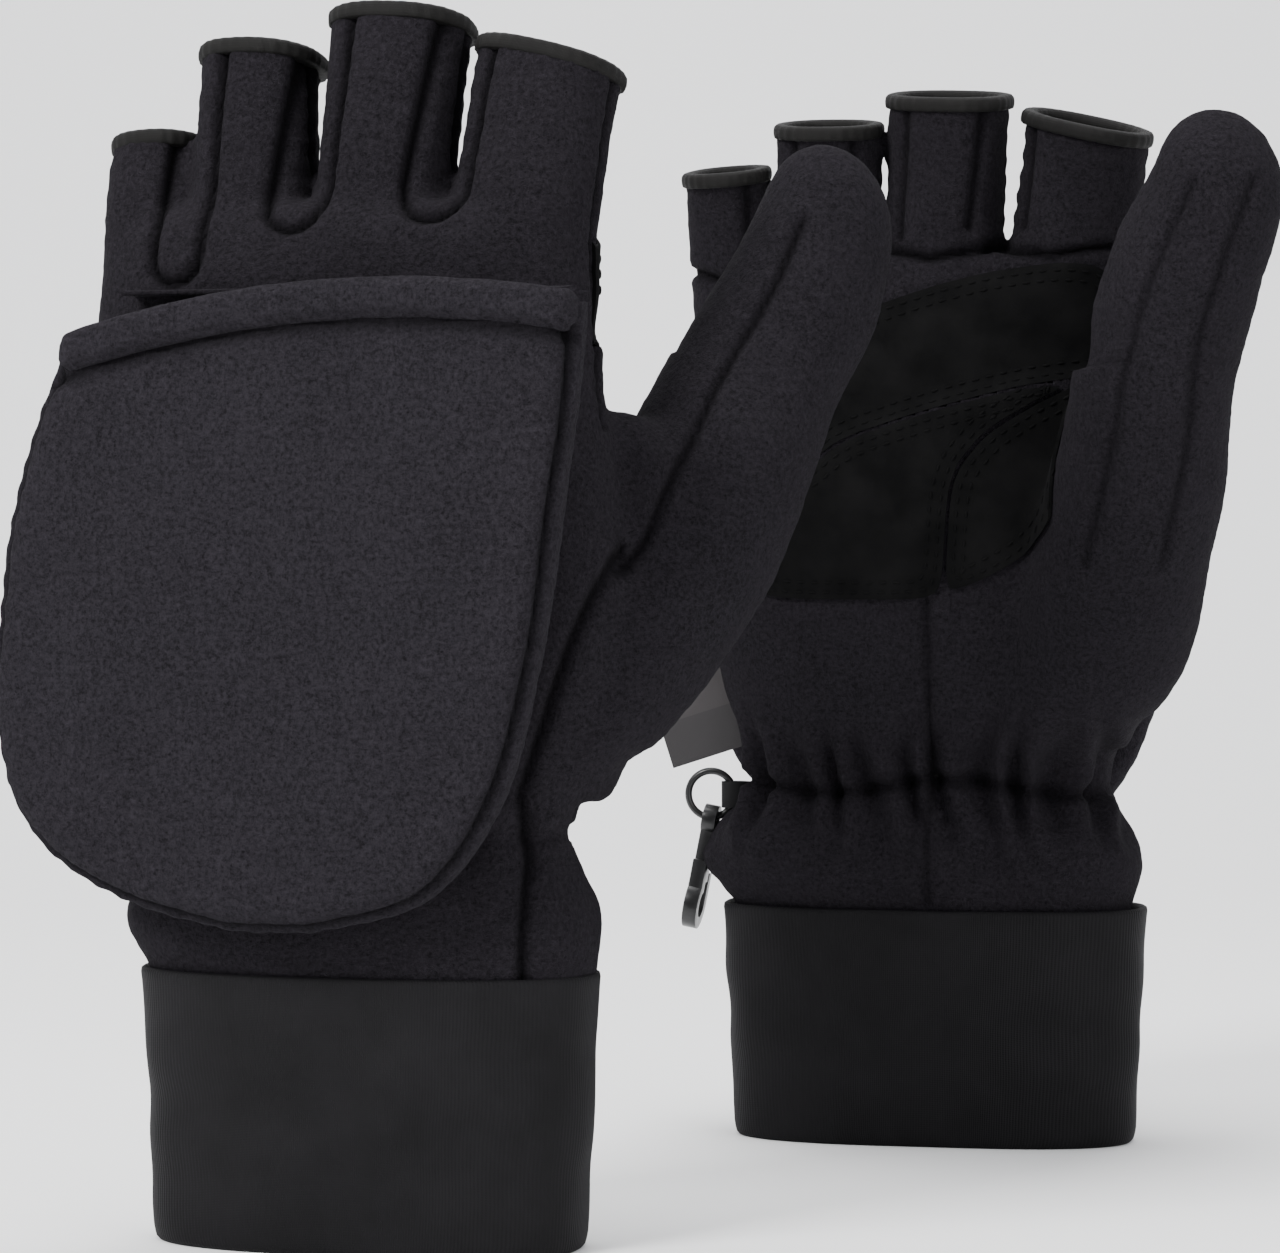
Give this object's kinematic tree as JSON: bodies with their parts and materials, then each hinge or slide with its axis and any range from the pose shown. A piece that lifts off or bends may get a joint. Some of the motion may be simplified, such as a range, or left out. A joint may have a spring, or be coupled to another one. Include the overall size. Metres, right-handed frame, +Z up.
{
  "type": "convertible mittens",
  "caption": "Pair of black fleece fingerless gloves with a flip-top mitten hood, full thumb, suede palm patches, knit cuffs and a clip on one wrist.",
  "frame": {"origin": "on the floor, under the middle of the pair's bounding box", "axes": "+Z up, along the fingers; +X sideways, towards the thumbs; -Y is the near side, which the left glove's back and the right glove's palm face"},
  "size_m": [0.2551, 0.2449, 0.2382],
  "materials": {
    "fleece": "brushed charcoal fleece with a short pebbled nap",
    "binding": "ribbed stretch binding, near black",
    "suede": "black suede with double stitching",
    "elastic": "covered elastic",
    "cuff_knit": "fine smooth stretch knit",
    "webbing": "woven narrow webbing",
    "clip_plastic": "moulded black plastic, slightly glossy",
    "label": "woven tape label, plain"
  },
  "bodies": {
    "left_glove": {"left_back_panel": "fleece", "left_palm_panel": "fleece", "left_thumb_inner": "fleece", "left_thumb_outer": "fleece", "left_fourchette_index": "fleece", "left_fourchette_ring": "fleece", "left_fourchette_little": "fleece", "left_binding_index": "binding", "left_binding_middle": "binding", "left_binding_ring": "binding", "left_binding_little": "binding", "left_suede_upper": "suede", "left_suede_heel": "suede", "left_suede_thumb": "suede", "left_wrist_elastic": "elastic", "left_cuff": "cuff_knit", "left_hood_tape": "fleece", "left_clip_loop": "webbing"},
    "left_hood": {"left_hood_hand_panel": "fleece", "left_hood_side_band": "fleece"},
    "left_hood_front": {"left_hood_palm_panel": "fleece", "left_hood_hem": "fleece"},
    "right_glove": {"right_back_panel": "fleece", "right_palm_panel": "fleece", "right_thumb_inner": "fleece", "right_thumb_outer": "fleece", "right_fourchette_index": "fleece", "right_fourchette_ring": "fleece", "right_fourchette_little": "fleece", "right_binding_index": "binding", "right_binding_middle": "binding", "right_binding_ring": "binding", "right_binding_little": "binding", "right_suede_upper": "suede", "right_suede_heel": "suede", "right_suede_thumb": "suede", "right_wrist_elastic": "elastic", "right_cuff": "cuff_knit", "right_hood_tape": "fleece", "right_clip_loop": "webbing", "right_side_label": "label"},
    "right_hood": {"right_hood_hand_panel": "fleece", "right_hood_side_band": "fleece"},
    "right_hood_front": {"right_hood_palm_panel": "fleece", "right_hood_hem": "fleece"},
    "clip_ring": {"right_clip_ring": "clip_plastic"},
    "clip_hook": {"right_clip_hook": "clip_plastic"}
  },
  "joints": [
    {"name": "right_glove_apart", "type": "slide", "parent": "left_glove", "child": "right_glove", "axis": [1, 0, 0], "range_m": [0, 0.15]},
    {"name": "left_hood_flip", "type": "hinge", "parent": "left_glove", "child": "left_hood", "pos_m": [-0.06918, -0.09573, 0.183], "axis": [-0.9648, 0.2579, 0.052], "range_deg": [0, 184], "deforming": ["left_hood_palm_panel", "left_hood_hem"]},
    {"name": "left_hood_depth", "type": "slide", "parent": "left_hood", "child": "left_hood_front", "axis": [-0.259, -0.9659, 0], "range_m": [0, 0.033]},
    {"name": "right_hood_flip", "type": "hinge", "parent": "right_glove", "child": "right_hood", "pos_m": [0.05923, 0.09764, 0.183], "axis": [0.9768, -0.2079, -0.052], "range_deg": [0, 184], "deforming": ["right_hood_palm_panel", "right_hood_hem"]},
    {"name": "right_hood_depth", "type": "slide", "parent": "right_hood", "child": "right_hood_front", "axis": [0.208, 0.9781, 0], "range_m": [0, 0.033]},
    {"name": "clip_ring_swing", "type": "hinge", "parent": "right_glove", "child": "clip_ring", "pos_m": [0.01203, 0.08477, 0.0775], "axis": [0, 0, 1], "range_deg": [-10, 10]},
    {"name": "clip_hook_swing", "type": "hinge", "parent": "clip_ring", "child": "clip_hook", "pos_m": [0.00733, 0.08577, 0.0717], "axis": [0.9781, -0.208, 0], "range_deg": [-60, 60]}
  ],
  "couplings": [
    {"joint": "left_hood_depth", "follows": "left_hood_flip", "m_per_rad": 0.010266},
    {"joint": "right_hood_depth", "follows": "right_hood_flip", "m_per_rad": 0.010266}
  ]
}
